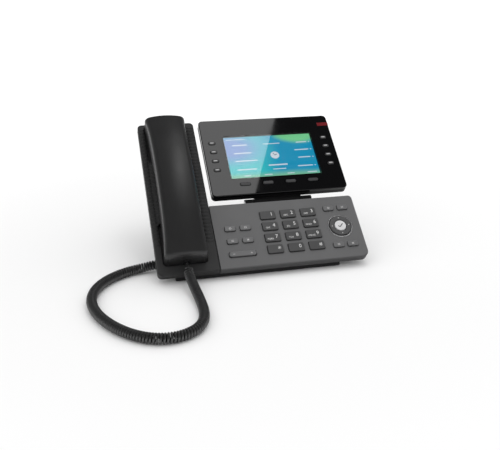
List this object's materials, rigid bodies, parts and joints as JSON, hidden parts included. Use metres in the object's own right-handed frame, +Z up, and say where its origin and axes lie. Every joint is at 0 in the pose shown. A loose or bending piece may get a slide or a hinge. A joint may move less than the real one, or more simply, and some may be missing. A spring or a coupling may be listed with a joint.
{
  "type": "desk telephone",
  "caption": "Desk telephone with a sloping keypad base, a tilting colour display and a handset on a curly cord that lies in a raised column at the left.",
  "frame": {"origin": "on the desk under the middle of the phone without its cord", "axes": "+X across to the phone's right as its user sees it, +Y back away from the user, +Z up"},
  "size_m": [0.321, 0.3018, 0.157],
  "materials": {
    "cradle_black": "fine satin",
    "panel_grey": "fine matt texture",
    "case_black": "satin",
    "rubber": "matt",
    "membrane": "matt silicone",
    "board": "solder mask",
    "speaker": "plain",
    "jack": "satin",
    "steel": "plain",
    "rocker": "satin",
    "nav_dark": "satin with a bright edge",
    "ok_silver": "silver satin",
    "grey_key": "satin",
    "dial_key": "satin",
    "display_gloss": "polished",
    "window": "clear",
    "screen": "lit screen",
    "light_red": "lit red",
    "handset": "soft satin",
    "plug": "clear moulded",
    "display_key": "satin",
    "cord": "satin"
  },
  "bodies": {
    "base": {"cradle_cover": "cradle_black", "keypad_fascia": "panel_grey", "base_bottom_shell": "case_black", "column_back_cover": "case_black", "foot_stand": "case_black", "rubber_feet": "rubber", "main_board": "board", "key_membrane": "membrane", "loudspeaker": "speaker", "jack_block": "jack", "base_screws": "steel", "hinge_pin": "steel", "cord_plug_base": "plug", "handset_cord": "cord"},
    "handset": {"handset_back_shell": "handset", "handset_front_shell": "handset", "handset_capsules": "speaker", "cord_plug_handset": "plug"},
    "display": {"display_front_frame": "display_gloss", "screen_lens": "window", "lcd_module": "screen", "display_board": "board", "display_rear_cover": "case_black", "message_light": "light_red"},
    "nav_rocker": {"nav_rocker": "rocker"},
    "nav_ring": {"nav_ring": "nav_dark"},
    "volume_bar": {"volume_bar": "grey_key"},
    "ok_key": {"ok_key": "ok_silver"},
    "key_1": {"key_1": "dial_key"},
    "key_2": {"key_2": "dial_key"},
    "key_3": {"key_3": "dial_key"},
    "key_4": {"key_4": "dial_key"},
    "key_5": {"key_5": "dial_key"},
    "key_6": {"key_6": "dial_key"},
    "key_7": {"key_7": "dial_key"},
    "key_8": {"key_8": "dial_key"},
    "key_9": {"key_9": "dial_key"},
    "key_star": {"key_star": "dial_key"},
    "key_0": {"key_0": "dial_key"},
    "key_hash": {"key_hash": "dial_key"},
    "feature_key_1": {"feature_key_1": "grey_key"},
    "feature_key_2": {"feature_key_2": "grey_key"},
    "feature_key_3": {"feature_key_3": "grey_key"},
    "feature_key_4": {"feature_key_4": "grey_key"},
    "nav_key_upper_left": {"nav_key_upper_left": "grey_key"},
    "nav_key_upper_right": {"nav_key_upper_right": "grey_key"},
    "nav_key_lower_left": {"nav_key_lower_left": "grey_key"},
    "nav_key_lower_right": {"nav_key_lower_right": "grey_key"},
    "line_key_left_1": {"line_key_left_1": "display_key"},
    "line_key_left_2": {"line_key_left_2": "display_key"},
    "line_key_left_3": {"line_key_left_3": "display_key"},
    "line_key_left_4": {"line_key_left_4": "display_key"},
    "line_key_right_1": {"line_key_right_1": "display_key"},
    "line_key_right_2": {"line_key_right_2": "display_key"},
    "line_key_right_3": {"line_key_right_3": "display_key"},
    "line_key_right_4": {"line_key_right_4": "display_key"},
    "soft_key_1": {"soft_key_1": "display_key"},
    "soft_key_2": {"soft_key_2": "display_key"},
    "soft_key_3": {"soft_key_3": "display_key"},
    "soft_key_4": {"soft_key_4": "display_key"}
  },
  "joints": [
    {"name": "handset_lift", "type": "slide", "parent": "base", "child": "handset", "axis": [0, -0.6157, 0.788], "range_m": [0, 0.07]},
    {"name": "display_tilt", "type": "hinge", "parent": "base", "child": "display", "pos_m": [0.03305, -0.00741, 0.0615], "axis": [1, 0, 0], "range_deg": [0, 30]},
    {"name": "nav_up_down", "type": "hinge", "parent": "base", "child": "nav_rocker", "pos_m": [0.0968, -0.04811, 0.03579], "axis": [1, 0, 0], "range_deg": [-2.5, 2.5], "stiffness_Nm_per_rad": 0.35},
    {"name": "nav_left_right", "type": "hinge", "parent": "nav_rocker", "child": "nav_ring", "pos_m": [0.0968, -0.04811, 0.03579], "axis": [0, 0.788, 0.6157], "range_deg": [-2.5, 2.5], "stiffness_Nm_per_rad": 0.35},
    {"name": "volume_rock", "type": "hinge", "parent": "base", "child": "volume_bar", "pos_m": [-0.0254, -0.06812, 0.02016], "axis": [0, 0.788, 0.6157], "range_deg": [-2.5, 2.5], "stiffness_Nm_per_rad": 0.45},
    {"name": "ok_key_press", "type": "slide", "parent": "base", "child": "ok_key", "axis": [0, 0.6157, -0.788], "range_m": [0, 0.0011], "stiffness_N_per_m": 300, "springref_m": -0.0005},
    {"name": "key_1_press", "type": "slide", "parent": "base", "child": "key_1", "axis": [0, 0.6157, -0.788], "range_m": [0, 0.0011], "stiffness_N_per_m": 300, "springref_m": -0.0005},
    {"name": "key_2_press", "type": "slide", "parent": "base", "child": "key_2", "axis": [0, 0.6157, -0.788], "range_m": [0, 0.0011], "stiffness_N_per_m": 300, "springref_m": -0.0005},
    {"name": "key_3_press", "type": "slide", "parent": "base", "child": "key_3", "axis": [0, 0.6157, -0.788], "range_m": [0, 0.0011], "stiffness_N_per_m": 300, "springref_m": -0.0005},
    {"name": "key_4_press", "type": "slide", "parent": "base", "child": "key_4", "axis": [0, 0.6157, -0.788], "range_m": [0, 0.0011], "stiffness_N_per_m": 300, "springref_m": -0.0005},
    {"name": "key_5_press", "type": "slide", "parent": "base", "child": "key_5", "axis": [0, 0.6157, -0.788], "range_m": [0, 0.0011], "stiffness_N_per_m": 300, "springref_m": -0.0005},
    {"name": "key_6_press", "type": "slide", "parent": "base", "child": "key_6", "axis": [0, 0.6157, -0.788], "range_m": [0, 0.0011], "stiffness_N_per_m": 300, "springref_m": -0.0005},
    {"name": "key_7_press", "type": "slide", "parent": "base", "child": "key_7", "axis": [0, 0.6157, -0.788], "range_m": [0, 0.0011], "stiffness_N_per_m": 300, "springref_m": -0.0005},
    {"name": "key_8_press", "type": "slide", "parent": "base", "child": "key_8", "axis": [0, 0.6157, -0.788], "range_m": [0, 0.0011], "stiffness_N_per_m": 300, "springref_m": -0.0005},
    {"name": "key_9_press", "type": "slide", "parent": "base", "child": "key_9", "axis": [0, 0.6157, -0.788], "range_m": [0, 0.0011], "stiffness_N_per_m": 300, "springref_m": -0.0005},
    {"name": "key_star_press", "type": "slide", "parent": "base", "child": "key_star", "axis": [0, 0.6157, -0.788], "range_m": [0, 0.0011], "stiffness_N_per_m": 300, "springref_m": -0.0005},
    {"name": "key_0_press", "type": "slide", "parent": "base", "child": "key_0", "axis": [0, 0.6157, -0.788], "range_m": [0, 0.0011], "stiffness_N_per_m": 300, "springref_m": -0.0005},
    {"name": "key_hash_press", "type": "slide", "parent": "base", "child": "key_hash", "axis": [0, 0.6157, -0.788], "range_m": [0, 0.0011], "stiffness_N_per_m": 300, "springref_m": -0.0005},
    {"name": "feature_key_1_press", "type": "slide", "parent": "base", "child": "feature_key_1", "axis": [0, 0.6157, -0.788], "range_m": [0, 0.0011], "stiffness_N_per_m": 300, "springref_m": -0.0005},
    {"name": "feature_key_2_press", "type": "slide", "parent": "base", "child": "feature_key_2", "axis": [0, 0.6157, -0.788], "range_m": [0, 0.0011], "stiffness_N_per_m": 300, "springref_m": -0.0005},
    {"name": "feature_key_3_press", "type": "slide", "parent": "base", "child": "feature_key_3", "axis": [0, 0.6157, -0.788], "range_m": [0, 0.0011], "stiffness_N_per_m": 300, "springref_m": -0.0005},
    {"name": "feature_key_4_press", "type": "slide", "parent": "base", "child": "feature_key_4", "axis": [0, 0.6157, -0.788], "range_m": [0, 0.0011], "stiffness_N_per_m": 300, "springref_m": -0.0005},
    {"name": "nav_key_upper_left_press", "type": "slide", "parent": "base", "child": "nav_key_upper_left", "axis": [0, 0.6157, -0.788], "range_m": [0, 0.0011], "stiffness_N_per_m": 300, "springref_m": -0.0005},
    {"name": "nav_key_upper_right_press", "type": "slide", "parent": "base", "child": "nav_key_upper_right", "axis": [0, 0.6157, -0.788], "range_m": [0, 0.0011], "stiffness_N_per_m": 300, "springref_m": -0.0005},
    {"name": "nav_key_lower_left_press", "type": "slide", "parent": "base", "child": "nav_key_lower_left", "axis": [0, 0.6157, -0.788], "range_m": [0, 0.0011], "stiffness_N_per_m": 300, "springref_m": -0.0005},
    {"name": "nav_key_lower_right_press", "type": "slide", "parent": "base", "child": "nav_key_lower_right", "axis": [0, 0.6157, -0.788], "range_m": [0, 0.0011], "stiffness_N_per_m": 300, "springref_m": -0.0005},
    {"name": "line_key_left_1_press", "type": "slide", "parent": "display", "child": "line_key_left_1", "axis": [0, 0.6157, -0.788], "range_m": [0, 0.0007], "stiffness_N_per_m": 300, "springref_m": -0.0005},
    {"name": "line_key_left_2_press", "type": "slide", "parent": "display", "child": "line_key_left_2", "axis": [0, 0.6157, -0.788], "range_m": [0, 0.0007], "stiffness_N_per_m": 300, "springref_m": -0.0005},
    {"name": "line_key_left_3_press", "type": "slide", "parent": "display", "child": "line_key_left_3", "axis": [0, 0.6157, -0.788], "range_m": [0, 0.0007], "stiffness_N_per_m": 300, "springref_m": -0.0005},
    {"name": "line_key_left_4_press", "type": "slide", "parent": "display", "child": "line_key_left_4", "axis": [0, 0.6157, -0.788], "range_m": [0, 0.0007], "stiffness_N_per_m": 300, "springref_m": -0.0005},
    {"name": "line_key_right_1_press", "type": "slide", "parent": "display", "child": "line_key_right_1", "axis": [0, 0.6157, -0.788], "range_m": [0, 0.0007], "stiffness_N_per_m": 300, "springref_m": -0.0005},
    {"name": "line_key_right_2_press", "type": "slide", "parent": "display", "child": "line_key_right_2", "axis": [0, 0.6157, -0.788], "range_m": [0, 0.0007], "stiffness_N_per_m": 300, "springref_m": -0.0005},
    {"name": "line_key_right_3_press", "type": "slide", "parent": "display", "child": "line_key_right_3", "axis": [0, 0.6157, -0.788], "range_m": [0, 0.0007], "stiffness_N_per_m": 300, "springref_m": -0.0005},
    {"name": "line_key_right_4_press", "type": "slide", "parent": "display", "child": "line_key_right_4", "axis": [0, 0.6157, -0.788], "range_m": [0, 0.0007], "stiffness_N_per_m": 300, "springref_m": -0.0005},
    {"name": "soft_key_1_press", "type": "slide", "parent": "display", "child": "soft_key_1", "axis": [0, 0.6157, -0.788], "range_m": [0, 0.0007], "stiffness_N_per_m": 300, "springref_m": -0.0005},
    {"name": "soft_key_2_press", "type": "slide", "parent": "display", "child": "soft_key_2", "axis": [0, 0.6157, -0.788], "range_m": [0, 0.0007], "stiffness_N_per_m": 300, "springref_m": -0.0005},
    {"name": "soft_key_3_press", "type": "slide", "parent": "display", "child": "soft_key_3", "axis": [0, 0.6157, -0.788], "range_m": [0, 0.0007], "stiffness_N_per_m": 300, "springref_m": -0.0005},
    {"name": "soft_key_4_press", "type": "slide", "parent": "display", "child": "soft_key_4", "axis": [0, 0.6157, -0.788], "range_m": [0, 0.0007], "stiffness_N_per_m": 300, "springref_m": -0.0005}
  ]
}
